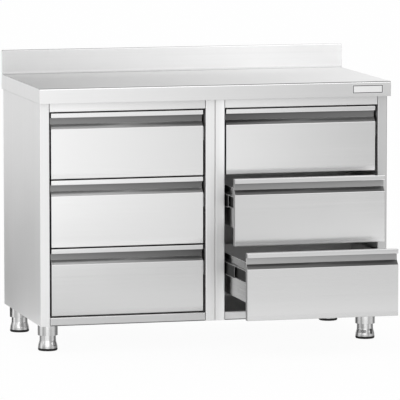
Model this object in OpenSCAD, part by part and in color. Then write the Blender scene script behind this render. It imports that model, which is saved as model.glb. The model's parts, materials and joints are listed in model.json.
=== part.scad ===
// Drawer cabinet of folded stainless steel for a catering kitchen.
// Two columns of three drawers stand under a worktop with an upstand along its rear edge.
// X runs along the width, the drawers open towards -Y, and Z is up from the floor.

/* [Worktop] */
// Width of the worktop
worktop_w = 1200; // [1000:10:1600]
// Depth of the worktop, front edge to rear
worktop_d = 600; // [560:10:700]
// Height of the working surface above the floor
worktop_z = 880; // [840:1:960]
// Height of the folded edge round the worktop
edge_h = 50; // [40:1:70]
// Height of the upstand above the working surface
upstand_h = 82; // [40:1:150]
// Thickness of the upstand, a folded box
upstand_t = 20; // [12:1:30]
// Sheet thickness of the worktop
top_sheet = 1.5; // [1:0.1:2]
// Outer bend radius of the worktop's front edge
edge_r = 5; // [3:0.5:8]
// Radius of the cove at the foot of the upstand
cove_r = 8; // [4:0.5:12]
// Width of the lip folded in under the worktop's edges
under_lip = 26; // [22:1:40]
// Thickness of the board that stiffens the worktop
core_t = 18; // [12:1:28]
// Distance from the worktop's edge to that board
core_inset = 7; // [6:0.5:15]

/* [Body] */
// How far the worktop stands out past each side of the body
side_overhang = 6; // [2:0.5:15]
// How far the worktop stands out past the front of the body
front_overhang = 24; // [10:1:40]
// Height of the body's underside above the floor
body_z = 92; // [80:1:140]
// Sheet thickness of the body
sheet = 1.2; // [0.8:0.1:1.5]
// Visible width of each stile at the front
stile_w = 32; // [26:0.5:45]
// Depth of the stile's inner edge, folded to the rear
stile_return = 20; // [12:1:25]
// Seam between the two middle panels
seam_gap = 1; // [0.2:0.1:1.6]
// Width of the flanges along the top and rear of each panel
panel_flange = 30; // [20:1:36]
// Width of the flange that carries the bottom, along the foot of each panel
foot_flange = 40; // [36:1:60]
// Visible height of the top rail
top_rail_h = 29.5; // [20:0.5:40]
// Depth of the top rail
top_rail_d = 40; // [30:1:60]
// Visible height of the bottom rail, the folded front edge of the bottom panel
bottom_rail_h = 28; // [20:1:40]
// Depth of the bottom rail's upper face
bottom_rail_d = 25; // [15:1:35]
// How far the rails lie behind the face of the stiles
rail_setback = 2; // [0.5:0.5:4]

/* [Drawer fronts] */
// How far the closed fronts lie behind the face of the stiles
front_inset = 7; // [1:0.5:10]
// Gap between a front and the stile beside it
side_gap = 7; // [3:0.5:9]
// Gap between two fronts, and between the lowest front and the bottom rail
row_gap = 4.5; // [3:0.5:8]
// Gap between the top rail and the fronts of the top row
top_gap = 4.5; // [4:0.5:12]
// How much lower the top row's fronts are than the others
top_row_less = 5; // [0:0.5:20]
// Thickness of a drawer front
front_t = 22; // [20:0.5:30]
// Height of the grip lip along the top of a front
lip_h = 16; // [12:0.5:24]
// Depth of the grip recess under the lip
recess_d = 17; // [14:0.5:18]
// Height of the upright wall inside the grip recess
recess_wall_h = 21; // [18:0.5:30]
// Height of the slope from the recess out to the panel
recess_slope_h = 12.5; // [8:0.5:20]
// Outer bend radius of the folds on a front
fold_r = 2.5; // [1.5:0.1:4]

/* [Drawers] */
// How far the middle drawer on the right stands open
open_middle_right = 114; // [0:1:400]
// How far the bottom drawer on the right stands open
open_bottom_right = 269; // [0:1:400]
// Drop from the top of a front to the top of the drawer's walls
box_drop = 33; // [26:0.5:40]
// Height of the drawer's walls
box_h = 134; // [110:1:150]
// Sheet thickness of the drawer
box_sheet = 1; // [0.8:0.1:1.2]
// Height of the flat hem along the top of the drawer's walls
hem_h = 10; // [6:0.5:16]

/* [Runners] */
// Drop from the top of a front to the middle of its runners
runner_drop = 80; // [72:0.5:100]
// Height of a runner
runner_h = 45; // [40:0.5:52]
// Thickness of a runner, from its post to the drawer
runner_t = 12.7; // [12:0.1:14]
// Sheet thickness of the runner's three members
runner_sheet = 1.2; // [1:0.1:1.4]
// Running clearance between nested members
runner_gap = 0.3; // [0.2:0.05:0.5]
// Space left between a closed front and its runners
runner_front_gap = 1; // [0.5:0.5:3]
// Space left behind the runners, in front of the back panel
runner_rear_gap = 45; // [20:1:80]
// Width of a runner post, along the depth of the cabinet
post_w = 40; // [30:1:50]
// Sheet thickness of a runner post
post_sheet = 1.5; // [1:0.1:2]
// Distance from the runner's rear end to the middle of the rear post
rear_post_inset = 40; // [25:1:80]
// Shank radius of a runner screw
screw_r = 2.5; // [2:0.1:3]
// Head radius of a runner screw
screw_head_r = 4.5; // [4:0.1:6]
// Head height of a runner screw
screw_head_h = 0.9; // [0.6:0.1:1]

/* [Feet] */
// Distance from the side of the body to the middle of a foot
foot_inset_x = 45; // [40:1:80]
// Distance from the front of the body to the middle of a front foot
foot_inset_front = 96; // [60:1:140]
// Distance from the rear of the cabinet to the middle of a rear foot
foot_inset_rear = 36; // [34:1:100]
// Outer radius of the fixed sleeve
sleeve_r = 33.5; // [30:0.5:34]
// Length of the sleeve below the body
sleeve_l = 41; // [34:1:44]
// Wall thickness of the sleeve and of the foot
foot_wall = 1.5; // [1:0.1:2]
// Outer radius of the foot's neck
neck_r = 26.5; // [24:0.5:28]
// Outer radius of the foot at its flared base
base_r = 32.5; // [29:0.5:34]
// Length of the flare, from the pad to the neck
flare_h = 28; // [12:1:32]
// Length of neck that is held inside the sleeve
neck_grip = 11; // [8:0.5:12]
// Radius of the foot's threaded spindle
spindle_r = 6; // [5:0.5:8]
// Clearance round the spindle in its nut
spindle_gap = 0.3; // [0.2:0.1:0.5]
// Wall thickness of the nut round the spindle
nut_wall = 4; // [3:0.5:6]
// Height of the nut
nut_h = 12; // [8:1:12]
// Height of the rubber pad
pad_h = 8; // [5:0.5:12]

/* [Name plate] */
// Width of the blank plate on the worktop's front edge
plate_w = 106; // [60:1:120]
// Height of the blank plate
plate_h = 29; // [15:1:34]
// Thickness of the blank plate
plate_t = 0.8; // [0.5:0.1:1.5]
// Distance from the worktop's right end to the plate
plate_inset = 28; // [10:1:80]

/* [Hidden] */
COLUMNS = ["left", "right"];
ROWS = ["top", "middle", "bottom"];
CORNERS = ["front_left", "front_right", "rear_left", "rear_right"];
FIXED = [
    "worktop", "worktop_core", "name_plate", "side_panel_left", "side_panel_right",
    "partition_left", "partition_right", "back_panel", "leg_sleeves", "runner_screws"
];
PER_COLUMN = ["bottom_panel", "top_rail", "runner_posts", "cabinet_rails"];
PER_DRAWER = ["drawer_front", "drawer_liner", "drawer_box", "drawer_rails", "middle_rails"];
PER_FOOT = ["foot", "foot_pad"];
$fn = 64;

STEEL = [0.82, 0.83, 0.84];
STEEL_DARK = [0.72, 0.73, 0.75];
ZINC = [0.62, 0.64, 0.67];
BOARD = [0.62, 0.50, 0.36];
RUBBER = [0.08, 0.08, 0.09];

// Length by which a cut runs past the solid that it cuts
cut = 1;
// Clearance between sheets that are fitted side by side
fit = 0.3;

// Body: the middle of the width is X = 0, and the worktop's front edge is Y = 0
body_w = worktop_w - 2 * side_overhang;
body_y = front_overhang;
body_top = worktop_z - edge_h;
body_h = body_top - body_z;
back_y = worktop_d - sheet;
rail_y = body_y + rail_setback;
column_w = (body_w - seam_gap) / 2;
column_x = (column_w + seam_gap) / 2;
opening_w = column_w - 2 * stile_w;

// Drawer fronts: the rows fill the opening between the rails
opening_z = body_z + bottom_rail_h;
opening_h = body_top - top_rail_h - opening_z;
front_w = opening_w - 2 * side_gap;
front_h = (opening_h - 3 * row_gap - top_gap + top_row_less) / 3;
front_y = body_y + front_inset;
FRONT_HEIGHTS = [front_h - top_row_less, front_h, front_h];
FRONT_TOPS = [
    opening_z + 3 * row_gap + 3 * front_h - top_row_less,
    opening_z + 2 * row_gap + 2 * front_h,
    opening_z + row_gap + front_h
];
OPEN = [[0, 0, 0], [0, open_middle_right, open_bottom_right]];

// Runners: they reach from the rear of the fronts towards the back panel
runner_y = front_y + front_t + runner_front_gap;
runner_l = back_y - runner_rear_gap - runner_y;
runner_x = opening_w / 2;
box_w = opening_w - 2 * runner_t;
post_depth = stile_w - sheet;
post_z = body_z + sheet;
post_h = body_h - 2 * sheet;
front_post_y = body_y + stile_return + sheet + post_w / 2;
rear_post_y = runner_y + runner_l - rear_post_inset;
SCREW_YS = [front_post_y, rear_post_y];

// Nested members of a runner, measured from the post's face and from the runner's middle height
cabinet_lip = runner_t * 0.7;
middle_h = runner_h - 2 * runner_sheet - 2 * runner_gap;
middle_from = runner_sheet + screw_head_h + runner_gap;
middle_to = runner_t - runner_sheet - runner_gap;
middle_web = (middle_from + middle_to - runner_sheet) / 2 - 1;
drawer_h = middle_h - 2 * runner_sheet - 2 * runner_gap;
drawer_lip_from = middle_web + runner_sheet + runner_gap;

// Feet
FEET = [
    [-body_w / 2 + foot_inset_x, body_y + foot_inset_front],
    [body_w / 2 - foot_inset_x, body_y + foot_inset_front],
    [-body_w / 2 + foot_inset_x, worktop_d - foot_inset_rear],
    [body_w / 2 - foot_inset_x, worktop_d - foot_inset_rear]
];
sleeve_z = body_z - sleeve_l;
neck_top = sleeve_z + neck_grip;
spindle_top = body_z - fit;
nut_r = spindle_r + spindle_gap + nut_wall;
spindle_hole_r = spindle_r + 2;

// The origin lies on the floor, under the middle of the outline with the drawers as they stand
front_reach = min(0, front_y - max(OPEN[0]), front_y - max(OPEN[1]));
origin_y = (front_reach + worktop_d) / 2;

// One corner of an outline, rounded with the radius r, between its neighbours a and b
function unit(v) = v / norm(v);
function rounded_corner(a, p, b, r, n = 6) =
    let (
        u = unit(a - p),
        v = unit(b - p),
        half = acos(u * v) / 2,
        c = p + unit(u + v) * r / sin(half),
        s = p + u * r / tan(half) - c,
        e = p + v * r / tan(half) - c,
        a0 = atan2(s[1], s[0]),
        turn = atan2(e[1], e[0]) - a0,
        sweep = turn > 180 ? turn - 360 : turn < -180 ? turn + 360 : turn
    )
    r <= 0 ? [p] : [for (i = [0:n]) c + r * [cos(a0 + sweep * i / n), sin(a0 + sweep * i / n)]];

// A closed outline from corners written as [x, y, radius]
function outline(corners) = [
    for (i = [0:len(corners) - 1])
        let (
            q = [for (k = [0:2]) corners[(i + len(corners) - 1 + k) % len(corners)]],
            pts = [for (c = q) [c[0], c[1]]]
        )
        for (point = rounded_corner(pts[0], pts[1], pts[2], q[1][2])) point
];

// Moves a piece from the cabinet's own axes to the part's origin
module placed() {
    translate([0, -origin_y, 0]) children();
}

// Moves a piece to the middle of a column
module in_column(c) {
    placed() translate([c == 0 ? -column_x : column_x, 0, 0]) children();
}

// Draws a piece at the left of a column and its mirror image at the right
module both_sides() {
    children();
    mirror([1, 0, 0]) children();
}

// Extrudes an outline in the YZ plane along X, centred on X = 0
module along_x(width) {
    translate([-width / 2, 0, 0]) rotate([90, 0, 90]) linear_extrude(width) children();
}

// A box between two corners
module between(low, high) {
    translate(low) cube(high - low);
}

module spindle_holes() {
    for (f = FEET)
        translate([f[0], f[1], body_z - cut]) cylinder(r = spindle_hole_r, h = 2 * sheet + 2 * cut);
}

// Folded worktop with its upstand, hollow below and with a lip under its edges
module worktop() {
    t = top_sheet;
    face = worktop_d - upstand_t;
    crest = worktop_z + upstand_h;
    color(STEEL) placed() difference() {
        along_x(worktop_w) polygon(outline([
            [0, body_top, 1], [0, worktop_z, edge_r], [face, worktop_z, cove_r],
            [face, crest, 2], [worktop_d, crest, 2], [worktop_d, body_top, 1]
        ]));
        along_x(worktop_w - 2 * t) polygon(outline([
            [t, body_top + t, 0], [t, worktop_z - t, edge_r - t], [face + t, worktop_z - t, cove_r + t],
            [face + t, crest - t, 0], [worktop_d - t, crest - t, 0], [worktop_d - t, body_top + t, 0]
        ]));
        between(
            [-worktop_w / 2 + under_lip, under_lip, body_top - cut],
            [worktop_w / 2 - under_lip, worktop_d - under_lip, body_top + t + cut]
        );
    }
}

// Board glued under the worktop's sheet
module worktop_core() {
    color(BOARD) placed() between(
        [-worktop_w / 2 + core_inset, core_inset, worktop_z - top_sheet - core_t],
        [worktop_w / 2 - core_inset, worktop_d - upstand_t - cove_r - core_inset, worktop_z - top_sheet]
    );
}

// Blank plate on the worktop's front edge
module name_plate() {
    middle_z = worktop_z - edge_h / 2;
    right_x = worktop_w / 2 - plate_inset;
    color(STEEL) placed() translate([right_x - plate_w / 2, 0, middle_z]) rotate([90, 0, 0])
        linear_extrude(plate_t) polygon(outline([
            [-plate_w / 2, -plate_h / 2, 2], [plate_w / 2, -plate_h / 2, 2],
            [plate_w / 2, plate_h / 2, 2], [-plate_w / 2, plate_h / 2, 2]
        ]));
}

// Upright panel at the left of a column: its web, its stile with a return, and its flanges
module upright_panel() {
    left = -column_w / 2;
    color(STEEL) {
        between([left, body_y, body_z], [left + sheet, back_y, body_top]);
        between([left, body_y, body_z], [left + stile_w, body_y + sheet, body_top]);
        between(
            [left + stile_w - sheet, body_y, body_z],
            [left + stile_w, body_y + stile_return, body_top]
        );
        between([left, back_y - sheet, body_z], [left + panel_flange, back_y, body_top]);
        between(
            [left, body_y + stile_return + sheet, body_top - sheet],
            [left + panel_flange, back_y, body_top]
        );
        between(
            [left, body_y + stile_return + sheet, body_z],
            [left + foot_flange, back_y, body_z + sheet]
        );
    }
}

// Panels are numbered from the left: outer, middle, middle, outer
module panel_piece(i) {
    column = i < 2 ? 0 : 1;
    difference() {
        in_column(column) mirror([i % 2, 0, 0]) upright_panel();
        placed() spindle_holes();
    }
}

// Back panel across the whole body, behind the panels' rear flanges
module back_panel() {
    color(STEEL_DARK) placed()
        between([-body_w / 2, back_y, body_z], [body_w / 2, worktop_d, body_top]);
}

// Bottom panel of a column: the floor, and the rail folded up along its front
module bottom_panel(c) {
    floor_z = body_z + sheet;
    color(STEEL) difference() {
        in_column(c) union() {
            between(
                [-opening_w / 2 + fit, rail_y, floor_z],
                [opening_w / 2 - fit, back_y - sheet - fit, floor_z + sheet]
            );
            between(
                [-opening_w / 2 + fit, rail_y, body_z],
                [opening_w / 2 - fit, rail_y + sheet, opening_z]
            );
            between(
                [-opening_w / 2 + fit, rail_y, opening_z - sheet],
                [opening_w / 2 - fit, rail_y + bottom_rail_d, opening_z]
            );
            between(
                [-opening_w / 2 + fit, rail_y + bottom_rail_d - sheet, floor_z],
                [opening_w / 2 - fit, rail_y + bottom_rail_d, opening_z]
            );
        }
        placed() spindle_holes();
    }
}

// Top rail of a column, a channel that opens to the rear
module top_rail(c) {
    low = body_top - top_rail_h;
    half = opening_w / 2 - fit;
    color(STEEL) in_column(c) {
        between([-half, rail_y, low], [half, rail_y + sheet, body_top]);
        between([-half, rail_y, low], [half, rail_y + top_rail_d, low + sheet]);
        between([-half, rail_y, body_top - sheet], [half, rail_y + top_rail_d, body_top]);
    }
}

// Shank holes for the runner screws at the left of a column
module screw_holes() {
    for (row = [0:2]) for (y = SCREW_YS)
        translate([-runner_x - post_sheet - cut, y, FRONT_TOPS[row] - runner_drop])
            rotate([0, 90, 0]) cylinder(r = screw_r + 0.1, h = post_sheet + runner_sheet + 2 * cut);
}

// Upright channel that carries the runners, at the left of a column
module runner_post(y) {
    outer = -runner_x - post_depth;
    between(
        [-runner_x - post_sheet, y - post_w / 2, post_z],
        [-runner_x, y + post_w / 2, post_z + post_h]
    );
    for (edge = [-post_w / 2, post_w / 2 - post_sheet])
        between([outer, y + edge, post_z], [-runner_x, y + edge + post_sheet, post_z + post_h]);
}

module runner_posts(c) {
    color(STEEL_DARK) in_column(c) both_sides() difference() {
        for (y = SCREW_YS) runner_post(y);
        screw_holes();
    }
}

// A channel along Y at the left of a column: a web with a lip along its top and bottom.
// web and lip are X ranges measured from the post's face.
module channel(web, lip, height, y, z) {
    x = -runner_x;
    between([x + web[0], y, z - height / 2], [x + web[1], y + runner_l, z + height / 2]);
    for (edge = [-height / 2, height / 2 - runner_sheet])
        between([x + lip[0], y, z + edge], [x + lip[1], y + runner_l, z + edge + runner_sheet]);
}

// Outer members of the runners, screwed to the posts
module cabinet_rails(c) {
    color(ZINC) in_column(c) both_sides() difference() {
        for (row = [0:2])
            channel([0, runner_sheet], [0, cabinet_lip], runner_h, runner_y, FRONT_TOPS[row] - runner_drop);
        screw_holes();
    }
}

// Middle members, which run out half as far as their drawer
module middle_rails(c, row) {
    color(ZINC) in_column(c) both_sides() channel(
        [middle_web, middle_web + runner_sheet], [middle_from, middle_to], middle_h,
        runner_y - OPEN[c][row] / 2, FRONT_TOPS[row] - runner_drop
    );
}

// Inner members, fixed to the drawer's walls
module drawer_rails(c, row) {
    color(ZINC) in_column(c) both_sides() channel(
        [runner_t - runner_sheet, runner_t], [drawer_lip_from, runner_t], drawer_h,
        runner_y - OPEN[c][row], FRONT_TOPS[row] - runner_drop
    );
}

// Screws that hold the outer members to the posts
module runner_screws() {
    for (c = [0:1]) color(ZINC) in_column(c) both_sides() for (row = [0:2]) for (y = SCREW_YS)
        translate([-runner_x, y, FRONT_TOPS[row] - runner_drop]) rotate([0, 90, 0]) {
            translate([0, 0, -post_sheet - 2])
                cylinder(r = screw_r, h = post_sheet + 2 + runner_sheet + screw_head_h);
            translate([0, 0, runner_sheet]) cylinder(r = screw_head_r, h = screw_head_h);
        }
}

// Moves a piece to its drawer: Y = 0 is the front's face and Z = 0 is its top
module in_drawer(c, row) {
    in_column(c) translate([0, front_y - OPEN[c][row], FRONT_TOPS[row]]) children();
}

// Side view of a drawer front, drawn in by t: lip, recess with its slope, and panel
module front_outline(row, t, rear) {
    slope = recess_slope_h / recess_d;
    drop = t * sqrt(1 + slope * slope);
    wall = recess_d + t;
    wall_end = -lip_h - recess_wall_h + (wall - recess_d) * slope - drop;
    panel_top = -lip_h - recess_wall_h - recess_slope_h + t * slope - drop;
    r = max(0, fold_r - t);
    polygon(outline([
        [rear, -t, 0], [t, -t, r], [t, -lip_h + t, r], [wall, -lip_h + t, 0], [wall, wall_end, 0],
        [t, panel_top, r], [t, -FRONT_HEIGHTS[row] + t, r], [rear, -FRONT_HEIGHTS[row] + t, 0]
    ]));
}

// Outer sheet of a drawer front, folded on all sides and open to the rear
module drawer_front(c, row) {
    color(STEEL) in_drawer(c, row) difference() {
        along_x(front_w) front_outline(row, 0, front_t);
        along_x(front_w - 2 * sheet) front_outline(row, sheet, front_t + cut);
    }
}

// Inner sheet that closes a drawer front from behind
module drawer_liner(c, row) {
    edge = sheet + fit;
    color(STEEL_DARK) in_drawer(c, row) between(
        [-front_w / 2 + edge, front_t - sheet, -FRONT_HEIGHTS[row] + edge],
        [front_w / 2 - edge, front_t, -edge]
    );
}

// The drawer itself: a tray with a flat hem outside along the top of its side walls
module drawer_box(c, row) {
    s = box_sheet;
    top = -box_drop;
    color(STEEL) in_drawer(c, row) union() {
        difference() {
            between([-box_w / 2, front_t, top - box_h], [box_w / 2, front_t + runner_l, top]);
            between(
                [-box_w / 2 + s, front_t + s, top - box_h + s],
                [box_w / 2 - s, front_t + runner_l - s, top + cut]
            );
        }
        both_sides() between([-box_w / 2 - s, front_t, top - hem_h], [-box_w / 2, front_t + runner_l, top]);
    }
}

// Fixed sleeves of the feet, each with the nut for its spindle
module leg_sleeves() {
    color(STEEL) placed() for (f = FEET) translate([f[0], f[1], 0]) rotate_extrude() union() {
        translate([sleeve_r - foot_wall, sleeve_z]) square([foot_wall, sleeve_l]);
        translate([spindle_r + spindle_gap, body_z - foot_wall])
            square([sleeve_r - spindle_r - spindle_gap, foot_wall]);
        translate([spindle_r + spindle_gap, body_z - nut_h]) square([nut_r - spindle_r - spindle_gap, nut_h]);
    }
}

// Radius of the foot at height z: it flares from the neck down to the base along a smooth curve
function foot_radius(z) =
    let (k = max(0, min(1, (z - pad_h) / flare_h)))
    base_r + (neck_r - base_r) * (1 - cos(180 * k)) / 2;

// Adjustable foot: a flared shell on a threaded spindle
module foot(i) {
    steps = 10;
    heights = [for (k = [0:steps]) pad_h + flare_h * k / steps];
    f = FEET[i];
    color(STEEL) placed() translate([f[0], f[1], 0]) rotate_extrude() union() {
        polygon(concat(
            [[0, pad_h]],
            [for (z = heights) [foot_radius(z), z]],
            [[neck_r, neck_top], [neck_r - foot_wall, neck_top]],
            [for (k = [steps:-1:1]) [foot_radius(heights[k]) - foot_wall, heights[k]]],
            [[base_r - foot_wall, pad_h + foot_wall], [0, pad_h + foot_wall]]
        ));
        translate([0, pad_h]) square([spindle_r, spindle_top - pad_h]);
    }
}

// Rubber pad under a foot
module foot_pad(i) {
    f = FEET[i];
    color(RUBBER) placed() translate([f[0], f[1], 0]) rotate_extrude() polygon([
        [0, 0], [base_r - 2, 0], [base_r, 1.5], [base_r, pad_h], [0, pad_h]
    ]);
}

worktop();
worktop_core();
name_plate();
panel_piece(0);  // side_panel_left
panel_piece(1);  // partition_left
panel_piece(2);  // partition_right
panel_piece(3);  // side_panel_right
back_panel();
leg_sleeves();
runner_screws();
for (c = [0:1]) {
    bottom_panel(c);
    top_rail(c);
    runner_posts(c);
    cabinet_rails(c);
}
for (c = [0:1]) for (row = [0:2]) {
    drawer = str("_", ROWS[row], "_", COLUMNS[c]);
    drawer_front(c, row);
    drawer_liner(c, row);
    drawer_box(c, row);
    drawer_rails(c, row);
    middle_rails(c, row);
}
for (i = [0:3]) {
    foot(i);
    foot_pad(i);
}
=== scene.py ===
"""Looks for the drawer cabinet: folded sheet with rounded bends, steel, light and camera."""

import json
import math

import bmesh
import bpy
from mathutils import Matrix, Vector


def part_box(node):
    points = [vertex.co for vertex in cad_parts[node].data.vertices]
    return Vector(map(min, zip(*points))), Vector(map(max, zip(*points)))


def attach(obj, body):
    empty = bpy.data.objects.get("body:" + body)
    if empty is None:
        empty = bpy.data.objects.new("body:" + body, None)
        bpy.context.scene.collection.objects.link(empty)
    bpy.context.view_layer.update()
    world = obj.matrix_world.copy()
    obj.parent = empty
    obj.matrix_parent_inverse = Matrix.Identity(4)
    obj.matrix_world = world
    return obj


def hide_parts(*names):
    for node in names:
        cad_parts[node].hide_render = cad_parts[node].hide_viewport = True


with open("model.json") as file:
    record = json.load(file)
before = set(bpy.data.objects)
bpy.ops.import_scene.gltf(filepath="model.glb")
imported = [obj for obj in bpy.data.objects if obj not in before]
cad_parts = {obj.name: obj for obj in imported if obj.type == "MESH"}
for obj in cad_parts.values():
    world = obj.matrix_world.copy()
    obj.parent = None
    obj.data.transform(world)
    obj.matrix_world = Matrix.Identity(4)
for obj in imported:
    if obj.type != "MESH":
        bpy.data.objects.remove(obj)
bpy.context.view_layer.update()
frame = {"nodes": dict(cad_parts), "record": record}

BODIES = frame["record"]["behaviour"]["bodies"]
BODY_OF = {node: body for body, nodes in BODIES.items() for node in nodes}
ROWS = ("top", "middle", "bottom")
COLUMNS = ("left", "right")
DRAWERS = [f"{row}_{column}" for column in COLUMNS for row in ROWS]
CORNERS = ("front_left", "front_right", "rear_left", "rear_right")

# All sizes are in metres, and a name that ends in _R is a radius

# Sheet of the body. CUT_R rounds its cut edges, and TIGHT_R is the least radius inside a fold.
SHEET = 0.0012
BEND_R = 0.0022
TIGHT_R = 0.0002
CUT_R = 0.0004
STILE_W = 0.032
STILE_RETURN = 0.020
REAR_FLANGE = 0.030
FOOT_FLANGE = 0.040
TOP_RAIL_D = 0.040
BOTTOM_RAIL_D = 0.025
RAIL_SEAM = 0.0012
SILL_RETURN = 0.010
SILL_BEND_R = 0.0035

# Worktop
TOP_SHEET = 0.0015
TOP_EDGE_R = 0.005
TOP_LOWER_R = 0.001
TOP_END_R = 0.0025
COVE_R = 0.008
CREST_R = 0.003
UPSTAND_T = 0.020
UPSTAND_H = 0.082
UNDER_LIP = 0.026

# Plate on the worktop's front edge
PLATE_R = 0.002
PLATE_EDGE = 0.0012
PLATE_FRAME = 0.0028
PLATE_GROOVE = 0.0003
PLATE_CUT_R = 0.0002

# Drawer fronts
LIP_H = 0.016
RECESS_D = 0.017
RECESS_WALL_H = 0.021
RECESS_SLOPE_H = 0.0165
FRONT_BEND_R = 0.0025
FRONT_END_R = 0.0016
RECESS_TOP_R = 0.0012
RECESS_SLOPE_R = 0.002

# Trays and runners
TRAY_SHEET = 0.001
TRAY_BEND_R = 0.0025
TRAY_CUT_R = 0.0003
HEM_H = 0.010
HEM_R = 0.0009
SCREW_EDGE_R = 0.0003

# Feet
TUBE_WALL = 0.0015
SLEEVE_R = 0.0335
SLEEVE_LOWER_R = 0.0007
SLEEVE_UPPER_R = 0.0005
SLEEVE_INNER_R = 0.0006
NUT_R = 0.0103
NUT_H = 0.012
NUT_GAP = 0.0003
NUT_BORE_EDGE_R = 0.0005
NUT_EDGE_R = 0.0008
NECK_R = 0.0275
NECK_EDGE_R = 0.0004
NECK_GRIP = 0.011
SPINDLE_R = 0.006
SPINDLE_ROOT_R = 0.0005
SPINDLE_TIP_R = 0.0008
SPINDLE_HOLE_R = 0.008
FLARE_FROM = 0.006
FLARE_TO = 0.028
FLARE_WALL = 0.004
BEAD_H = 0.0045
BEAD_D = 0.0006
BEAD_SLOPE = 0.0004
BEAD_FOOT_R = 0.0002
PAD_TAPER = 0.002
PAD_TAPER_H = 0.0025
PAD_TAPER_R = 0.001
PAD_CHAMFER = 0.001
PAD_CHAMFER_H = 0.0005
PAD_SIDE_R = 0.0005
PAD_TOP_R = 0.0003

# How far a cutter reaches past the faces that it opens
CUTTER_REACH = 0.005
# Points nearer to each other than this are one
SAME_POINT = 1e-6
# Edges that turn more than this are rounded, and faces that turn less than the other are one face
SHARP_TURN = math.radians(32)
FLAT_TURN = math.radians(0.5)
# The least part of a face's normal along an axis that the face looks along, or that it leans to.
# The middle strips of a fold lean at least MIDDLE_LEANS to both of its sides.
LOOKS = 0.7
LEANS = 0.15
MIDDLE_LEANS = 0.2
# A test of where faces lie leaves this much room beside the faces that it chooses or leaves out
SLACK = 0.001


# Outlines and solids

# For each axis: the places of the outline's two coordinates and of the axis itself
PLACES = {"x": (1, 2, 0), "y": (0, 2, 1), "z": (0, 1, 2)}


def rounded(corners, steps=5):
    """Points of a closed outline whose corners are written as (u, v, radius)."""
    points = []
    for i, (u, v, radius) in enumerate(corners):
        here = Vector((u, v))
        if radius <= 0:
            points.append(here)
            continue
        back = (Vector(corners[i - 1][:2]) - here).normalized()
        ahead = (Vector(corners[(i + 1) % len(corners)][:2]) - here).normalized()
        half = math.acos(max(-1, min(1, back.dot(ahead)))) / 2
        middle = here + (back + ahead).normalized() * radius / math.sin(half)
        start = here + back * radius / math.tan(half) - middle
        end = here + ahead * radius / math.tan(half) - middle
        angle = math.atan2(start.y, start.x)
        turn = math.remainder(math.atan2(end.y, end.x) - angle, 2 * math.pi)
        for k in range(steps + 1):
            a = angle + turn * k / steps
            points.append(middle + radius * Vector((math.cos(a), math.sin(a))))
    return points


def bent_sheet(path, radius=BEND_R):
    """Outline of a sheet bent along a path of (u, v) points. The sheet lies to the right of the path."""
    near, far = [], []
    for i, point in enumerate(path):
        here = Vector(point)
        runs = []
        if i > 0:
            runs.append((here - Vector(path[i - 1])).normalized())
        if i < len(path) - 1:
            runs.append((Vector(path[i + 1]) - here).normalized())
        rights = [Vector((run.y, -run.x)) for run in runs]
        if len(runs) == 1:
            away = here + rights[0] * SHEET
            near.append((here.x, here.y, 0))
            far.append((away.x, away.y, 0))
            continue
        away = here + (rights[0] + rights[1]) * SHEET / (1 + rights[0].dot(rights[1]))
        turns_right = runs[0].x * runs[1].y - runs[0].y * runs[1].x < 0
        outer, inner = radius, max(radius - SHEET, TIGHT_R)
        near.append((here.x, here.y, outer if turns_right else inner))
        far.append((away.x, away.y, inner if turns_right else outer))
    return rounded(near + far[::-1])


def add_solid(mesh, outline, axis, low, high):
    """Adds to a bmesh the solid that has the outline across the axis, from low to high along it."""
    u, v, w = PLACES[axis]
    loops = []
    for level in (low, high):
        loop = []
        for point in outline:
            place = [0, 0, 0]
            place[u], place[v], place[w] = point[0], point[1], level
            loop.append(mesh.verts.new(place))
        loops.append(loop)
    mesh.faces.new(loops[0])
    mesh.faces.new(loops[1])
    for i in range(len(outline)):
        mesh.faces.new((loops[0][i - 1], loops[0][i], loops[1][i], loops[1][i - 1]))


def box_solid(low, high):
    """A box between two corners, as add_solid takes it."""
    outline = [(low[0], low[1]), (high[0], low[1]), (high[0], high[1]), (low[0], high[1])]
    return outline, "z", low[2], high[2]


def new_object(name, mesh):
    """Makes an object of a bmesh, with all its faces smooth and turned outwards."""
    bmesh.ops.recalc_face_normals(mesh, faces=mesh.faces)
    data = bpy.data.meshes.new(name)
    for face in mesh.faces:
        face.smooth = True
    mesh.to_mesh(data)
    mesh.free()
    made = bpy.data.objects.new(name, data)
    bpy.context.scene.collection.objects.link(made)
    return made


def solids(name, parts):
    """One object made of several solids."""
    mesh = bmesh.new()
    for outline, axis, low, high in parts:
        add_solid(mesh, outline, axis, low, high)
    return new_object(name, mesh)


def join(name, pieces):
    """One object made of several others, which are removed."""
    mesh = bmesh.new()
    for piece in pieces:
        mesh.from_mesh(piece.data)
        bpy.data.objects.remove(piece)
    return new_object(name, mesh)


def lathe(name, profile, centre, steps=96):
    """One object turned from a closed (radius, z) profile round an upright axis."""
    mesh = bmesh.new()
    rings = []
    for k in range(steps):
        a = 2 * math.pi * k / steps
        spoke = Vector((math.cos(a), math.sin(a), 0))
        rings.append([mesh.verts.new(centre + spoke * r + Vector((0, 0, z))) for r, z in profile])
    for k in range(steps):
        for i in range(len(profile)):
            mesh.faces.new((rings[k - 1][i - 1], rings[k][i - 1], rings[k][i], rings[k - 1][i]))
    bmesh.ops.remove_doubles(mesh, verts=mesh.verts, dist=SAME_POINT)
    return new_object(name, mesh)


def even_shading(made, keep_sharp=True, weight=100):
    """Keeps the flat faces of a smooth object looking flat."""
    smoothing = made.modifiers.new("normals", "WEIGHTED_NORMAL")
    smoothing.keep_sharp = keep_sharp
    smoothing.weight = weight


def bevel(made, width=CUT_R, segments=2):
    """Rounds an object's sharp edges and keeps its flat faces looking flat."""
    rounding = made.modifiers.new("bevel", "BEVEL")
    rounding.width = width
    rounding.segments = segments
    rounding.limit_method = "ANGLE"
    rounding.angle_limit = SHARP_TURN
    even_shading(made)


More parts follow.
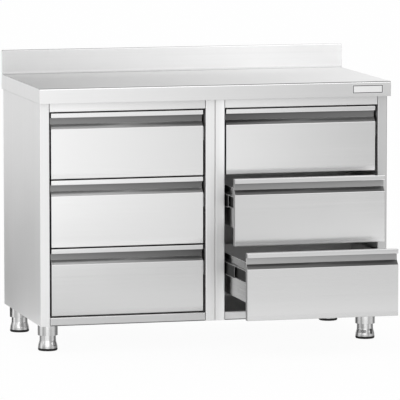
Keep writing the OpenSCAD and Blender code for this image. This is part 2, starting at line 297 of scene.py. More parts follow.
def apply_modifiers(made):
    """Puts what the modifiers make into the object's own mesh."""
    graph = bpy.context.evaluated_depsgraph_get()
    data = bpy.data.meshes.new_from_object(made.evaluated_get(graph))
    made.modifiers.clear()
    made.data = data


def carve(made, cutters):
    """Cuts other objects out of one and removes them."""
    for cutter in cutters:
        cut = made.modifiers.new("cut", "BOOLEAN")
        cut.operation = "DIFFERENCE"
        cut.solver = "EXACT"
        cut.object = cutter
    apply_modifiers(made)
    for cutter in cutters:
        bpy.data.objects.remove(cutter)


def stand_for(made, material, node):
    """The object takes the place of a CAD node, on its body and with its material slot."""
    made.data.materials.clear()
    made.data.materials.append(material)
    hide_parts(node)
    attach(made, BODY_OF[node])
    return made


def paint(made, material, chosen):
    """Gives another material to the faces that a test of their centre and normal chooses."""
    made.data.materials.append(material)
    for face in made.data.polygons:
        if chosen(face.center, face.normal):
            face.material_index = len(made.data.materials) - 1


def dress(node, material, width=CUT_R):
    """A copy of a CAD node with its triangles merged and its sharp edges rounded."""
    mesh = bmesh.new()
    mesh.from_mesh(frame["nodes"][node].data)
    bmesh.ops.remove_doubles(mesh, verts=mesh.verts, dist=SAME_POINT)
    bmesh.ops.dissolve_limit(mesh, angle_limit=FLAT_TURN, verts=mesh.verts, edges=mesh.edges)
    made = new_object(node + "_look", mesh)
    bevel(made, width)
    return stand_for(made, material, node)


# Materials

# Waves a metre along X, Y and Z of the fine and the coarse brush marks
GRAIN = {
    "x": ((4, 700, 700), (0.7, 150, 150)),
    "y": ((700, 4, 700), (150, 0.7, 150)),
    "z": ((700, 700, 4), (150, 150, 0.7)),
}
# Share of the fine ones in the brush marks, and of all the marks beside the broad clouds
FINE_SHARE = 0.35
MARKS_SHARE = 0.7
# How far the marks and the clouds move the roughness
MARKS_ROUGHNESS = 0.05
CLOUDS_ROUGHNESS = 0.02
# Depth of fine marks, in metres
MARKS_DEPTH = 0.0002
# Grey of plain stainless steel
STAINLESS = 0.82
# Turn of the painted reflection streaks round a polished tube
STREAK_TURN = math.radians(165.4)
# Turn of stretched highlights from the tangent, as a part of a full turn
HIGHLIGHT_TURN = 0.25


class Shader:
    """A material's node tree, with short ways to add nodes and join them."""

    def __init__(self, name):
        self.material = bpy.data.materials.new(name)
        self.material.use_nodes = True
        self.nodes = self.material.node_tree.nodes
        self.links = self.material.node_tree.links
        self.surface = self.nodes["Principled BSDF"]
        coordinates = self.nodes.new("ShaderNodeTexCoord")
        self.coordinates = coordinates.outputs["Object"]
        self.facing = coordinates.outputs["Normal"]

    def join(self, source, target):
        """Joins what a node gives to another node's socket."""
        self.links.new(source, target)

    def feed(self, **sources):
        """Joins sources to the surface's sockets, named with _ for a space."""
        for socket, source in sources.items():
            self.join(source, self.surface.inputs[socket.replace("_", " ")])

    def set(self, **values):
        """Sets values on the surface's sockets, named with _ for a space."""
        for socket, value in values.items():
            self.surface.inputs[socket.replace("_", " ")].default_value = value

    def noise(self, scale, stretch=(1, 1, 1), detail=3.0, roughness=0.55):
        """Noise of that many waves a metre, stretched along the axes."""
        mapping = self.nodes.new("ShaderNodeMapping")
        mapping.inputs["Scale"].default_value = stretch
        self.join(self.coordinates, mapping.inputs["Vector"])
        texture = self.nodes.new("ShaderNodeTexNoise")
        texture.inputs["Scale"].default_value = scale
        texture.inputs["Detail"].default_value = detail
        texture.inputs["Roughness"].default_value = roughness
        self.join(mapping.outputs["Vector"], texture.inputs["Vector"])
        return texture.outputs["Fac"]

    def spread(self, value, low, high, from_low=0.3, from_high=0.7):
        """Maps a value to a range. Most of a texture's values lie between the ends given here."""
        node = self.nodes.new("ShaderNodeMapRange")
        node.inputs["From Min"].default_value = from_low
        node.inputs["From Max"].default_value = from_high
        node.inputs["To Min"].default_value = low
        node.inputs["To Max"].default_value = high
        self.join(value, node.inputs["Value"])
        return node.outputs["Result"]

    def combine(self, operation, a, b=0):
        """Works out an operation on numbers or on what other nodes give."""
        node = self.nodes.new("ShaderNodeMath")
        node.operation = operation
        for socket, value in zip(node.inputs, (a, b)):
            if isinstance(value, (int, float)):
                socket.default_value = value
            else:
                self.join(value, socket)
        return node.outputs["Value"]

    def weigh(self, a, b, share):
        """A sum of two values, with that share of the first and the rest of the second."""
        return self.combine(
            "ADD", self.combine("MULTIPLY", a, share), self.combine("MULTIPLY", b, 1 - share)
        )

    def blend(self, factor, a, b):
        """Mixes two colours by a factor from 0 to 1."""
        node = self.nodes.new("ShaderNodeMix")
        node.data_type = "RGBA"
        self.join(factor, node.inputs["Factor"])
        node.inputs["A"].default_value = (*a, 1)
        node.inputs["B"].default_value = (*b, 1)
        return node.outputs["Result"]

    def scale(self, colour, factor):
        """Makes a colour lighter or darker by a factor."""
        node = self.nodes.new("ShaderNodeVectorMath")
        node.operation = "SCALE"
        self.join(colour, node.inputs[0])
        self.join(factor, node.inputs["Scale"])
        return node.outputs["Vector"]

    def along(self, axis):
        """The place along the object's X, Y or Z, in metres."""
        node = self.nodes.new("ShaderNodeSeparateXYZ")
        self.join(self.coordinates, node.inputs["Vector"])
        return node.outputs[axis]

    def bump(self, height, strength, distance=MARKS_DEPTH):
        """Gives the surface a relief of that strength and depth."""
        node = self.nodes.new("ShaderNodeBump")
        node.inputs["Strength"].default_value = strength
        node.inputs["Distance"].default_value = distance
        self.join(height, node.inputs["Height"])
        self.feed(Normal=node.outputs["Normal"])


def steel(
    name, tone, roughness, grain, *, relief=0.12, streaks=0.03, edge_tint=1.0,
    anisotropy=0.0, spun_round="Z", fade=None, corner=None, dull=None,
):
    """Brushed steel of one grey.

    grain is the axis of the brush marks, relief the strength of their bump, and streaks how much
    lighter and darker than the tone they are.
    edge_tint is how much of the light it still mirrors where it is seen at a slant.
    Where there is anisotropy, its highlights spread along the axis spun_round.
    fade is a painted gradient of light along X: the grey at a right end and the X of the left and the right
    end; tone holds at the left.
    corner is a painted darker reflection: how much darker the steel is in one corner, the axis and the places
    along it from which and to which it darkens, and the X where it darkens most and the X where it no longer
    does.
    dull is how much rougher the steel is at a lower edge, and the Z of that edge and of where it ends.
    """
    shader = Shader(name)
    fine = shader.noise(1.0, GRAIN[grain][0], detail=5.0, roughness=0.7)
    coarse = shader.noise(1.0, GRAIN[grain][1], detail=4.0, roughness=0.6)
    clouds = shader.noise(4.0)
    marks = shader.weigh(fine, coarse, FINE_SHARE)
    dark = (tone * (1 - streaks),) * 3
    light = (min(1, tone * (1 + streaks)),) * 3
    colour = shader.blend(shader.spread(shader.weigh(marks, clouds, MARKS_SHARE), 0, 1), dark, light)
    if fade:
        right_tone, left_x, right_x = fade
        colour = shader.scale(colour, shader.spread(shader.along("X"), 1, right_tone / tone, left_x, right_x))
    if corner:
        depth, axis, start, end, dark_x, clear_x = corner
        shade = shader.combine(
            "MULTIPLY",
            shader.spread(shader.along(axis), 0, depth, start, end),
            shader.spread(shader.along("X"), 1, 0, dark_x, clear_x),
        )
        colour = shader.scale(colour, shader.combine("SUBTRACT", 1, shade))
    rough = shader.combine(
        "ADD",
        shader.spread(marks, roughness - MARKS_ROUGHNESS, roughness + MARKS_ROUGHNESS),
        shader.spread(clouds, -CLOUDS_ROUGHNESS, CLOUDS_ROUGHNESS),
    )
    if dull:
        rougher, edge_z, end_z = dull
        rough = shader.combine("ADD", rough, shader.spread(shader.along("Z"), rougher, 0, edge_z, end_z))
    shader.feed(Base_Color=colour, Roughness=rough)
    shader.set(Metallic=1, Specular_Tint=(edge_tint, edge_tint, edge_tint, 1))
    if anisotropy:
        tangent = shader.nodes.new("ShaderNodeTangent")
        tangent.direction_type = "RADIAL"
        tangent.axis = spun_round
        shader.feed(Tangent=tangent.outputs["Tangent"])
        shader.set(Anisotropic=anisotropy, Anisotropic_Rotation=HIGHLIGHT_TURN)
    shader.bump(fine, relief)
    return shader.material


def polished_steel():
    """Polished tube, with painted light and dark streaks that stand for the reflections such a tube shows
    along its length.
    """
    shader = Shader("polished steel")
    facing = shader.nodes.new("ShaderNodeSeparateXYZ")
    shader.join(shader.facing, facing.inputs["Vector"])
    angle = shader.combine("ARCTAN2", facing.outputs["X"], facing.outputs["Y"])
    turned_angle = shader.combine("ADD", angle, STREAK_TURN)
    streaks = shader.noise(150, (1, 1, 0.01), detail=2.0)
    # Nine narrow and two wide painted reflection streaks round the tube
    for count, strength in ((9, 0.22), (2, 0.3)):
        wave = shader.combine("COSINE", shader.combine("MULTIPLY", turned_angle, count))
        streaks = shader.combine("ADD", streaks, shader.combine("MULTIPLY", wave, strength))
    shade = shader.spread(streaks, 0, 1, 0.15, 0.95)
    turning = shader.noise(1.0, (60, 60, 900), detail=4.0)
    shader.feed(
        Base_Color=shader.blend(shade, (0.1, 0.1, 0.1), (0.85, 0.85, 0.85)),
        Roughness=shader.spread(turning, 0.1, 0.18),
    )
    shader.set(Metallic=1)
    shader.bump(turning, 0.04)
    return shader.material


def rubber_material():
    """Black rubber with a fine grain."""
    shader = Shader("rubber")
    grain = shader.noise(900, detail=2.0)
    shader.feed(
        Base_Color=shader.blend(grain, (0.008, 0.008, 0.008), (0.025, 0.025, 0.025)),
        Roughness=shader.spread(grain, 0.55, 0.8),
    )
    shader.set(Specular_IOR_Level=0.25)
    shader.bump(grain, 0.2)
    return shader.material


def board_material():
    """Raw chipboard."""
    shader = Shader("board")
    chips = shader.noise(160, (1, 1, 3), detail=6.0, roughness=0.75)
    shader.feed(Base_Color=shader.blend(shader.spread(chips, 0, 1), (0.36, 0.25, 0.14), (0.68, 0.54, 0.36)))
    shader.set(Roughness=0.8)
    shader.bump(chips, 0.3, 0.0005)
    return shader.material


def enamel_material():
    """Dark enamel of the plate's groove."""
    shader = Shader("dark enamel")
    grain = shader.noise(1200, detail=2.0)
    shader.feed(
        Base_Color=shader.blend(grain, (0.05, 0.05, 0.052), (0.09, 0.09, 0.094)),
        Roughness=shader.spread(grain, 0.3, 0.45),
    )
    return shader.material


# Worktop greys with painted light: edge, upstand and cove steel fade along X as painted reflection, and the
# cove is painted darker as shade in its crease
edge_steel = steel("edge steel", 0.75, 0.42, "x", anisotropy=0.7, fade=(0.62, -0.6, 0.4))
upstand_steel = steel("upstand steel", 0.67, 0.45, "x", fade=(0.95, -0.6, 0.3))
cove_steel = steel("cove steel", 0.5, 0.4, "x", fade=(0.62, -0.3, 0.4))
# Fold steel is a painted dark reflection line along the folds, and bright fold steel a painted highlight
fold_steel = steel("fold steel", 0.3, 0.4, "x", fade=(0.08, -0.3, 0.3))
bright_steel = steel("bright fold steel", 0.95, 0.2, "x")
shaded_steel = steel("shaded fold steel", 0.15, 0.4, "x")
# The worktop steel fades along X as painted reflection, and is painted darker towards the upstand at the
# left, a painted darker reflection
top_steel = steel(
    "worktop steel", 0.655, 0.42, "x", anisotropy=0.7, spun_round="Y",
    fade=(0.7, -0.6, 0.6), corner=(0.25, "Y", 0.15, 0.4, -0.6, 0.35),
)
panel_steel = steel("panel steel", STAINLESS, 0.45, "z", streaks=0.05)
# Each stile has its own grey as painted light and shade: the right stile is painted darker, and the middle
# right one lighter towards its right edge
stile_steels = {
    "side_panel_left": steel("left stile steel", 0.77, 0.45, "z", streaks=0.05),
    "partition_left": steel("middle left stile steel", 0.79, 0.5, "z", streaks=0.05),
    "partition_right": steel("middle right stile steel", 0.79, 0.5, "z", streaks=0.05, fade=(0.92, 0, 0.03)),
    "side_panel_right": steel("right stile steel", 0.58, 0.45, "z", streaks=0.05),
}
# The rails' greys fade along X as painted reflection; the sill steel is painted darker as shade, lighter just
# right of the middle
rail_steels = {
    "left": steel("rail steel left", STAINLESS, 0.45, "x", streaks=0.05, fade=(0.66, -0.5, 0)),
    "right": steel("rail steel right", 0.78, 0.45, "x", streaks=0.05, fade=(0.66, 0, 0.6)),
}
sill_steel = steel("sill steel", 0.56, 0.45, "x", streaks=0.05, fade=(0.72, 0, 0.06))
tray_steel = steel("tray steel", 0.74, 0.4, "y", relief=0.05)
# Painted shade on the trays: inside steel on their upright faces, wall steel on the outer side walls and,
# darkest, rim steel on the walls above the runners; bend steel is a painted highlight on their folds
inside_steel = steel("tray inside steel", 0.5, 0.4, "x", relief=0.05)
wall_steel = steel("tray wall steel", 0.4, 0.24, "y", relief=0.05, streaks=0.3)
rim_steel = steel("tray rim steel", 0.18, 0.24, "y", relief=0.05, streaks=0.3)
bend_steel = steel("tray bend steel", 0.95, 0.3, "y", relief=0.05)
# The ends of the drawer fronts are painted darker, as painted shade
front_side_steel = steel("front side steel", 0.33, 0.4, "z")
back_steel = steel("back steel", 0.74, 0.35, "x")
liner_steel = steel("liner steel", 0.8, 0.5, "x")
plate_steel = steel("plate steel", 0.88, 0.38, "x")
foot_steel = polished_steel()
zinc = steel("zinc plating", 0.55, 0.3, "y", relief=0.06)
# The webs of the runners are painted nearly black, as painted shade in their channels
web_shade_zinc = steel("zinc plating with painted shade", 0.07, 0.35, "y", relief=0.06, edge_tint=0.45)
rubber = rubber_material()
board = board_material()
enamel = enamel_material()


# Worktop

# The front fold and the cove end within this distance of the front edge and of the upstand
FOLD_REACH = 0.02
# The least part of a normal that points up: on the upper strips of the front fold, on the level
# top, and on the strips of the left end. FRONT_AHEAD is the least ahead on the front strips.
FRONT_UP = 0.6
LEVEL_UP = 0.999
END_UP = 0.3
FRONT_AHEAD = 0.8


def worktop_outline(low, high, inset=0):
    """Outline of the worktop and its upstand, that far inside the outer faces."""
    front, back = low.y + inset, high.y - inset
    under, crest = low.z + inset, high.z - inset
    top = high.z - UPSTAND_H - inset
    face = high.y - UPSTAND_T + inset
    return rounded([
        (front, under, TOP_LOWER_R), (front, top, TOP_EDGE_R - inset), (face, top, COVE_R + inset),
        (face, crest, CREST_R - inset), (back, crest, CREST_R - inset), (back, under, TOP_LOWER_R),
    ], steps=8)


def worktop():
    """Folded worktop, open below inside its lip."""
    low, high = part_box("worktop")
    made = solids("worktop_look", [(worktop_outline(low, high), "x", low.x, high.x)])
    bevel(made, TOP_END_R, segments=4)
    apply_modifiers(made)
    inside = (worktop_outline(low, high, TOP_SHEET), "x", low.x + TOP_SHEET, high.x - TOP_SHEET)
    opening = box_solid(
        (low.x + UNDER_LIP, low.y + UNDER_LIP, low.z - CUTTER_REACH),
        (high.x - UNDER_LIP, high.y - UNDER_LIP, low.z + CUTTER_REACH),
    )
    carve(made, [solids("inside", [inside]), solids("opening", [opening])])
    even_shading(made, keep_sharp=False)
    stand_for(made, top_steel, "worktop")

    top = high.z - UPSTAND_H
    near_front = low.y + FOLD_REACH
    near_upstand = high.y - UPSTAND_T - FOLD_REACH
    above_cove = top + COVE_R + SLACK
    # The edge, the upstand and the cove take greys with painted reflection, and the cove is painted darker as
    # shade in its crease
    paint(made, edge_steel, lambda centre, normal: abs(normal.y) > LOOKS)
    paint(made, upstand_steel, lambda centre, normal: normal.y < -LOOKS and centre.z > top)
    paint(made, cove_steel, lambda centre, normal: (
        centre.y > near_upstand and centre.z < above_cove and normal.y < -LEANS and normal.z > LEANS
    ))
    paint(made, panel_steel, lambda centre, normal: abs(normal.x) > LOOKS)
    # The upper strips of the front fold and of the left end are painted dark, a painted reflection, and the
    # front strips bright, a painted highlight
    paint(made, fold_steel, lambda centre, normal: (
        centre.y < near_front and FRONT_UP < normal.z < LEVEL_UP
    ))
    paint(made, fold_steel, lambda centre, normal: normal.z > END_UP and normal.x < -LEANS)
    paint(made, bright_steel, lambda centre, normal: (
        centre.y < near_front and abs(normal.x) < LEANS and normal.y < -FRONT_AHEAD and normal.z > LEANS
    ))


def plate_outline(low, high, inset=0):
    """Outline of the plate with rounded corners, that far inside its edge."""
    left, right = low.x + inset, high.x - inset
    under, over = low.z + inset, high.z - inset
    radius = PLATE_R - inset / 3
    return rounded([(x, z, radius) for x, z in ((left, under), (right, under), (right, over), (left, over))])


def name_plate():
    """Blank plate with a dark groove round its field."""
    low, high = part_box("name_plate")
    plate = solids("plate", [(plate_outline(low, high), "y", low.y, high.y)])
    groove_outline = plate_outline(low, high, PLATE_EDGE)
    groove_floor = low.y + PLATE_GROOVE
    carve(plate, [solids("groove", [(groove_outline, "y", low.y - CUTTER_REACH, groove_floor)])])
    field_outline = plate_outline(low, high, PLATE_EDGE + PLATE_FRAME)
    field = solids("field", [(field_outline, "y", low.y, high.y)])
    made = join("name_plate_look", [plate, field])
    bevel(made, PLATE_CUT_R)
    stand_for(made, plate_steel, "name_plate")
    paint(made, enamel, lambda centre, normal: normal.y < -LOOKS and centre.y > (low.y + groove_floor) / 2)


worktop()
dress("worktop_core", board)
name_plate()


# Body


def foot_centre(corner):
    """The point of a foot's axis that is level with the origin."""
    low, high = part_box("foot_" + corner)
    return Vector(((low.x + high.x) / 2, (low.y + high.y) / 2, 0))


def pierced(part, side):
    """A solid with the holes that the feet's spindles on one side pass through."""
    made = solids("pierced", [part])
    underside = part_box("side_panel_" + side)[0].z
    under, over = underside - CUTTER_REACH, underside + CUTTER_REACH
    hole = [(0, under), (SPINDLE_HOLE_R, under), (SPINDLE_HOLE_R, over), (0, over)]
    centres = [foot_centre(f"{end}_{side}") for end in ("front", "rear")]
    carve(made, [lathe("hole", hole, centre, steps=48) for centre in centres])
    return made


def panel(node, inward):
    """Upright panel with its stile, drawn from its outer face; inward is the way to its column."""
    low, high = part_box(node)
    outer = low.x if inward > 0 else high.x
    path = [
        (outer + inward * STILE_W, low.y + STILE_RETURN), (outer + inward * STILE_W, low.y),
        (outer, low.y), (outer, high.y), (outer + inward * REAR_FLANGE, high.y),
    ]
    sheet = bent_sheet(path if inward > 0 else path[::-1])
    flange_y = low.y + STILE_RETURN + SHEET
    top_x = sorted((outer + inward * SHEET, outer + inward * REAR_FLANGE))
    foot_x = sorted((outer + inward * SHEET, outer + inward * FOOT_FLANGE))
    bent = solids("bent", [
        (sheet, "z", low.z, high.z),
        box_solid((top_x[0], flange_y, high.z - SHEET), (top_x[1], high.y - SHEET, high.z)),
    ])
    foot_flange = box_solid((foot_x[0], flange_y, low.z), (foot_x[1], high.y - SHEET, low.z + SHEET))
    kind, side = node.rsplit("_", 1)
    base = pierced(foot_flange, side) if kind == "side_panel" else solids("base", [foot_flange])
    made = join(node + "_look", [bent, base])
    bevel(made)
    stand_for(made, panel_steel, node)
    # The stile takes its own grey, painted light and shade
    paint(made, stile_steels[node], lambda centre, normal: normal.y < -LOOKS)
    return made


def bottom_panel(column):
    """Bottom panel, whose front edge is folded into the lower rail and its sill."""
    node = "bottom_panel_" + column
    low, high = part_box(node)
    floor_z = low.z + SHEET
    rail = bent_sheet([
        (low.y + SILL_RETURN, low.z), (low.y, low.z), (low.y, high.z), (low.y + BOTTOM_RAIL_D, high.z),
        (low.y + BOTTOM_RAIL_D, floor_z + SHEET),
    ], SILL_BEND_R)
    made = join(node + "_look", [
        solids("rail", [(rail, "x", low.x + RAIL_SEAM, high.x - RAIL_SEAM)]),
        pierced(box_solid((low.x, low.y + SHEET, floor_z), (high.x, high.y, floor_z + SHEET)), column),
    ])
    bevel(made)
    # The rail's grey fades along X as painted reflection, and the sill's front face is painted darker as
    # shade
    stand_for(made, rail_steels[column], node)
    paint(made, sill_steel, lambda centre, normal: normal.y < -LOOKS and centre.y < low.y + SLACK)
    paint(made, shaded_steel, lambda centre, normal: (
        normal.z < -LEANS and centre.z < low.z + SILL_BEND_R and centre.y < low.y + SILL_BEND_R
    ))


def top_rail(column):
    """Channel that lies between two panels under the worktop."""
    node = "top_rail_" + column
    low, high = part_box(node)
    rail = bent_sheet([
        (low.y + TOP_RAIL_D, low.z), (low.y, low.z), (low.y, high.z), (low.y + TOP_RAIL_D, high.z),
    ])
    made = solids(node + "_look", [(rail, "x", low.x + RAIL_SEAM, high.x - RAIL_SEAM)])
    bevel(made)
    # The rail's grey fades along X as painted reflection
    stand_for(made, rail_steels[column], node)


panel("side_panel_left", 1)
panel("partition_left", -1)
panel("partition_right", 1)
right_side = panel("side_panel_right", -1)
# The middle strips of its front bend are in the shade
paint(right_side, shaded_steel, lambda centre, normal: (
    normal.x > MIDDLE_LEANS and normal.y < -MIDDLE_LEANS
))
dress("back_panel", back_steel)
for column in COLUMNS:
    bottom_panel(column)
    top_rail(column)
    dress("runner_posts_" + column, back_steel)
    dress("cabinet_rails_" + column, zinc)
dress("runner_screws", zinc, SCREW_EDGE_R)


# Drawers

# Greys of each drawer's steel at its left and right end: front, recess wall, recess slope. They are painted
# light: the fronts' greys are painted reflection and the recesses are painted darker as shade.
# The last number is how much darker the front is at its lower left corner, a painted darker reflection.
DRAWER_TONES = {
    "top_left": ((0.73, 0.71), (0.24, 0.17), (0.54, 0.36), 0),
    "middle_left": ((0.76, 0.70), (0.26, 0.16), (0.54, 0.34), 0),
    "bottom_left": ((0.74, 0.57), (0.25, 0.12), (0.5, 0.25), 0.26),
    "top_right": ((0.80, 0.77), (0.12, 0.20), (0.2, 0.42), 0),
    "middle_right": ((0.63, 0.77), (0.29, 0.36), (0.15, 0.15), 0),
    "bottom_right": ((0.64, 0.63), (0.43, 0.36), (0.16, 0.12), 0),
}
# Height of the dull strip along a front's lower edge, and how much rougher the edge is
DULL_H = 0.02
DULL_ROUGHNESS = 0.35
# A face of the recess turns to its end if this much of its normal lies along X
RECESS_END = 0.5
# A test of the recess's faces reaches this far above its ceiling, to include it
CEILING_SLACK = 0.0001
# A face of a tray stands upright if less than this of its normal lies along Z
TRAY_UPRIGHT = 0.3
# A strip of a tray's bends has less than this of its normal along X
TRAY_STRIP = 0.98
# The faces of a runner's web have their centres this near to its middle height
WEB_REACH = 0.01


def drawer_front(drawer):
    """Front with its folded grip recess, and a pocket in its back where the inner sheet lies."""
    node = "drawer_front_" + drawer
    low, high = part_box(node)
    lip_z = high.z - LIP_H
    wall_z = lip_z - RECESS_WALL_H
    slope_z = wall_z - RECESS_SLOPE_H
    outline = rounded([
        (high.y, high.z, 0), (low.y, high.z, FRONT_BEND_R), (low.y, lip_z, FRONT_BEND_R),
        (low.y + RECESS_D, lip_z, RECESS_TOP_R), (low.y + RECESS_D, wall_z, RECESS_SLOPE_R),
        (low.y, slope_z, FRONT_BEND_R), (low.y, low.z, FRONT_BEND_R), (high.y, low.z, 0),
    ])
    made = solids(node + "_look", [(outline, "x", low.x, high.x)])
    bevel(made, FRONT_END_R, segments=4)
    apply_modifiers(made)
    liner_low, liner_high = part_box("drawer_liner_" + drawer)
    pocket_high = (liner_high.x, high.y + CUTTER_REACH, liner_high.z)
    carve(made, [solids("pocket", [box_solid(liner_low, pocket_high)])])
    even_shading(made, keep_sharp=False)

    front_tones, wall_tones, slope_tones, corner_depth = DRAWER_TONES[drawer]
    # Each front's greys, its fade along X and its darker lower left corner are painted reflection
    front_steel = steel(
        "front steel " + drawer, front_tones[0], 0.13, "x", relief=0.05, streaks=0.02, anisotropy=0.5,
        fade=(front_tones[1], low.x, high.x),
        corner=(corner_depth, "Z", high.z, low.z, low.x, high.x),
        dull=(DULL_ROUGHNESS, low.z, low.z + DULL_H),
    )
    recess_steel, slope_steel = (
        steel(
            name + drawer, tones[0], 0.45, "x", streaks=0.12, anisotropy=0.6,
            fade=(tones[1], low.x, high.x),
        )
        for name, tones in (("recess steel ", wall_tones), ("slope steel ", slope_tones))
    )
    stand_for(made, front_steel, node)
    # Painted shade: the ends of the front are darker
    paint(made, front_side_steel, lambda centre, normal: abs(normal.x) > LOOKS)

    def in_recess(centre, normal):
        deep = low.y + SLACK < centre.y < low.y + RECESS_D + SLACK
        return deep and abs(normal.x) < RECESS_END and slope_z < centre.z < lip_z + CEILING_SLACK

    # Painted shade: the recess wall and its slope are darker than the front
    paint(made, recess_steel, lambda centre, normal: in_recess(centre, normal) and centre.z > wall_z)
    paint(made, slope_steel, lambda centre, normal: (
        in_recess(centre, normal) and centre.z < wall_z and normal.z > LOOKS
    ))


def drawer_tray(drawer):
    """Tray with rounded folds along its bottom and a hem along each side wall."""
    node = "drawer_box_" + drawer
    low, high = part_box(node)
    runner_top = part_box("drawer_rails_" + drawer)[1].z
    t = TRAY_SHEET
    left, right = low.x + t, high.x - t
    floor_z = low.z + t
    hem_z = high.z - HEM_H
    outline = rounded([
        (low.x, hem_z, TRAY_CUT_R), (low.x, high.z, HEM_R), (left + t, high.z, HEM_R),
        (left + t, floor_z, TRAY_BEND_R - t), (right - t, floor_z, TRAY_BEND_R - t),
        (right - t, high.z, HEM_R), (high.x, high.z, HEM_R), (high.x, hem_z, TRAY_CUT_R),
        (right, hem_z, TIGHT_R), (right, runner_top, 0), (right, low.z, TRAY_BEND_R),
        (left, low.z, TRAY_BEND_R), (left, runner_top, 0), (left, hem_z, TIGHT_R),
    ])
    made = solids(node + "_look", [
        (outline, "y", low.y, high.y),
        box_solid((left + t, low.y, floor_z), (right - t, low.y + t, high.z)),
        box_solid((left + t, high.y - t, floor_z), (right - t, high.y, high.z)),
    ])
    bevel(made, TRAY_CUT_R)
    stand_for(made, tray_steel, node)

    middle_x = (low.x + high.x) / 2
    wall_x = middle_x - low.x - t * 1.5
    # Painted shade on the upright faces, the outer walls and, darkest, the walls above the runner; painted
    # highlight on the strips of the bottom folds and the hems' tops
    paint(made, inside_steel, lambda centre, normal: abs(normal.z) < TRAY_UPRIGHT)
    for material, above in ((wall_steel, low.z), (rim_steel, runner_top)):
        paint(made, material, lambda centre, normal: (
            abs(normal.x) > LOOKS and abs(centre.x - middle_x) > wall_x and centre.z > above
        ))
    paint(made, bend_steel, lambda centre, normal: (
        abs(centre.x - middle_x) > wall_x - t and LEANS < abs(normal.x) < TRAY_STRIP
        and (centre.z < floor_z + 3 * t and normal.z < 0 or centre.z > high.z - 2 * t and normal.z > 0)
    ))


def runner_member(node):
    """A sliding member of the runners. The faces of its web are painted dark, as painted shade."""
    low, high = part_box(node)
    middle_z = (low.z + high.z) / 2
    paint(dress(node, zinc), web_shade_zinc, lambda centre, normal: (
        abs(normal.x) > LOOKS and abs(centre.z - middle_z) < WEB_REACH
    ))


for drawer in DRAWERS:
    drawer_front(drawer)
    dress("drawer_liner_" + drawer, liner_steel)
    drawer_tray(drawer)
    runner_member("drawer_rails_" + drawer)
    runner_member("middle_rails_" + drawer)


# Feet

# Steps of each small arc and of the flare in the half sections
TURNED_STEPS = 4
FLARE_STEPS = 14
# Weight of the large faces in the shading of turned pieces, less than elsewhere
TURNED_WEIGHT = 50


def foot_profile(low, high, sleeve_bottom):
    """Half section of a foot: base with a bead, flare, neck, and the spindle inside."""
    base_r = (high.x - low.x) / 2
    flare_r = base_r - BEAD_D
    bead_z = low.z + BEAD_H
    flare_low, flare_high = low.z + FLARE_FROM, low.z + FLARE_TO
    floor_z = low.z + TUBE_WALL
    neck_top = sleeve_bottom + NECK_GRIP
    bore_r = NECK_R - TUBE_WALL
    rim = rounded([
        (0, low.z, 0), (base_r, low.z, BEAD_D), (base_r, bead_z, BEAD_D),
        (flare_r, bead_z + BEAD_SLOPE, BEAD_FOOT_R), (flare_r, flare_low, 0),
    ], TURNED_STEPS)
    flare = []
    for k in range(1, FLARE_STEPS + 1):
        rise = k / FLARE_STEPS
        narrowing = (1 - math.cos(math.pi * rise)) / 2
        flare.append(Vector((
            flare_r + (NECK_R - flare_r) * narrowing, flare_low + (flare_high - flare_low) * rise
        )))
    rest = rounded([
        (NECK_R, neck_top, NECK_EDGE_R), (bore_r, neck_top, NECK_EDGE_R), (bore_r, flare_high, 0),
        (base_r - FLARE_WALL, floor_z, 0), (SPINDLE_R, floor_z, SPINDLE_ROOT_R),
        (SPINDLE_R, high.z, SPINDLE_TIP_R), (0, high.z, 0),
    ], TURNED_STEPS)
    return rim + flare + rest


def pad_profile(low, high):
    """Half section of a rubber pad, which tapers below."""
    pad_r = (high.x - low.x) / 2
    return rounded([
        (0, low.z, 0), (pad_r - PAD_TAPER, low.z, PAD_TAPER_R),
        (pad_r, low.z + PAD_TAPER_H, PAD_TAPER_R), (pad_r, high.z - PAD_CHAMFER_H, PAD_SIDE_R),
        (pad_r - PAD_CHAMFER, high.z, PAD_TOP_R), (0, high.z, 0),
    ], TURNED_STEPS)


def sleeve_profile(low, high):
    """Half section of a fixed sleeve with the nut under its top."""
    bore_r = SLEEVE_R - TUBE_WALL
    nut_bore_r = SPINDLE_R + NUT_GAP
    nut_z = high.z - NUT_H
    ceiling = high.z - TUBE_WALL
    return rounded([
        (SLEEVE_R, low.z, SLEEVE_LOWER_R), (SLEEVE_R, high.z, SLEEVE_UPPER_R), (nut_bore_r, high.z, 0),
        (nut_bore_r, nut_z, NUT_BORE_EDGE_R), (NUT_R, nut_z, NUT_EDGE_R), (NUT_R, ceiling, 0),
        (bore_r, ceiling, 0), (bore_r, low.z, SLEEVE_INNER_R),
    ], TURNED_STEPS)


def turned(node, profile, centre, material):
    """A turned piece for a CAD node. Its flat faces look flat and its arcs round."""
    made = lathe(node + "_look", profile, centre)
    even_shading(made, weight=TURNED_WEIGHT)
    stand_for(made, material, node)


sleeve_low, sleeve_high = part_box("leg_sleeves")
sleeves = []
for corner in CORNERS:
    centre = foot_centre(corner)
    foot_node, pad_node = "foot_" + corner, "foot_pad_" + corner
    turned(foot_node, foot_profile(*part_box(foot_node), sleeve_low.z), centre, foot_steel)
    turned(pad_node, pad_profile(*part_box(pad_node)), centre, rubber)
    sleeves.append(lathe("sleeve", sleeve_profile(sleeve_low, sleeve_high), centre))
sleeves_look = join("leg_sleeves_look", sleeves)
even_shading(sleeves_look, weight=TURNED_WEIGHT)
stand_for(sleeves_look, foot_steel, "leg_sleeves")


# Stage, light and camera


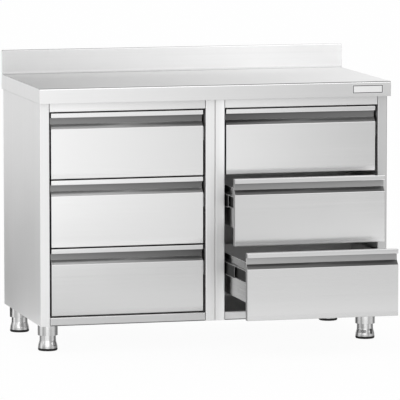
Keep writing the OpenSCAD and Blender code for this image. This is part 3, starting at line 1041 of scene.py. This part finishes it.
def floor_material():
    """Pale floor: it looks white with a faint shadow, and shows more of its shadow in reflections."""
    shader = Shader("floor")
    shader.nodes.remove(shader.surface)
    path = shader.nodes.new("ShaderNodeLightPath")
    pale = shader.nodes.new("ShaderNodeBsdfDiffuse")
    pale.inputs["Color"].default_value = (0.9, 0.9, 0.9, 1)
    glow = shader.nodes.new("ShaderNodeEmission")
    mirrored = shader.combine("MAXIMUM", path.outputs["Is Glossy Ray"], path.outputs["Is Transmission Ray"])
    white = shader.combine(
        "ADD",
        shader.combine("MULTIPLY", path.outputs["Is Camera Ray"], 0.94),
        shader.combine("MULTIPLY", mirrored, 0.5),
    )
    both = shader.nodes.new("ShaderNodeMixShader")
    shader.join(white, both.inputs["Fac"])
    shader.join(pale.outputs["BSDF"], both.inputs[1])
    shader.join(glow.outputs["Emission"], both.inputs[2])
    shader.join(both.outputs["Shader"], shader.nodes["Material Output"].inputs["Surface"])
    return shader.material


def plane(name, size, place, turn=(0, 0, 0)):
    """A flat staged plane, size metres along its own X and Y."""
    mesh = bmesh.new()
    bmesh.ops.create_grid(mesh, x_segments=1, y_segments=1, size=0.5)
    made = new_object(name, mesh)
    made.scale = (size[0], size[1], 1)
    made.location = place
    made.rotation_euler = [math.radians(a) for a in turn]
    return made


floor = plane("floor", (120, 120), (0, 0, -0.0005))
floor.data.materials.append(floor_material())


def card(name, size, place, turn, tones, ramp=(-0.5, 0.5)):
    """A studio card that only reflections see. Its tone changes along the ramp, a part of its own X."""
    shader = Shader(name)
    shader.nodes.remove(shader.surface)
    glow = shader.nodes.new("ShaderNodeEmission")
    shader.join(shader.spread(shader.along("X"), *tones, *ramp), glow.inputs["Strength"])
    shader.join(glow.outputs["Emission"], shader.nodes["Material Output"].inputs["Surface"])
    made = plane(name, size, place, turn)
    made.data.materials.append(shader.material)
    made.visible_camera = False
    made.visible_diffuse = False
    made.visible_shadow = False


# Turns of a card: upright along X, upright along Y, and lying
ALONG_X = (90, 0, 0)
ALONG_Y = (90, 0, 90)
LYING = (0, 0, 0)

card("overhead card", (7, 3), (0, -1.6, 3.6), LYING, (1.5, 1.4))
card("front card", (9, 1.8), (0.5, -3.5, 0.9), ALONG_X, (1.3, 0.7), (-0.05, 0.12))
card("upper front card", (9, 1.8), (0.5, -3.5, 2.7), ALONG_X, (1.5, 1.5))
card("floor card", (5, 1.0), (0.3, -1.05, 0.01), LYING, (1.1, 1.1))
card("left card", (2.2, 2.4), (-4.5, -1.7, 1.2), ALONG_Y, (1.2, 1.2))
card("right card", (2.4, 2.4), (3.6, -1.2, 1.2), ALONG_Y, (0.1, 0.1))
card("left floor flag", (2.6, 3.6), (-2.0, 2.3, 0.01), LYING, (0.27, 0.27))
card("rear card", (4.9, 2.8), (1.55, 2.0, 2.35), ALONG_X, (0.2, 1.6), (-0.36, 0.1))

world = bpy.data.worlds.new("studio")
bpy.context.scene.world = world
world.use_nodes = True
background = world.node_tree.nodes["Background"]
background.inputs["Color"].default_value = (1, 1, 1, 1)
background.inputs["Strength"].default_value = 1.0


def softbox(name, size, place, target, radiance):
    """A square area lamp of that size that looks at the target. radiance 1 is as bright as white."""
    data = bpy.data.lights.new(name, "AREA")
    data.shape = "SQUARE"
    data.size = size
    data.energy = radiance * math.pi * size * size
    lamp = bpy.data.objects.new(name, data)
    bpy.context.scene.collection.objects.link(lamp)
    lamp.location = place
    lamp.rotation_euler = (Vector(target) - Vector(place)).to_track_quat("-Z", "Y").to_euler()


softbox("key", 3.0, (-1.5, -4.5, 4.6), (0, 0, 0.6), 0.6)

# The camera looks along +Y, turned these degrees to the right and down
CAMERA_TURN = 14.58
CAMERA_DIP = 6.56

camera_data = bpy.data.cameras.new("camera")
camera_data.sensor_width = 36
camera_data.lens = 381.1
camera_data.clip_start = 0.1
camera_data.clip_end = 200
camera = bpy.data.objects.new("camera", camera_data)
bpy.context.scene.collection.objects.link(camera)
camera.location = (-3.5592, -13.6398, 2.0991)
camera.rotation_euler = (math.radians(90 - CAMERA_DIP), 0, math.radians(-CAMERA_TURN))
bpy.context.scene.camera = camera
bpy.context.scene.view_settings.view_transform = "Standard"
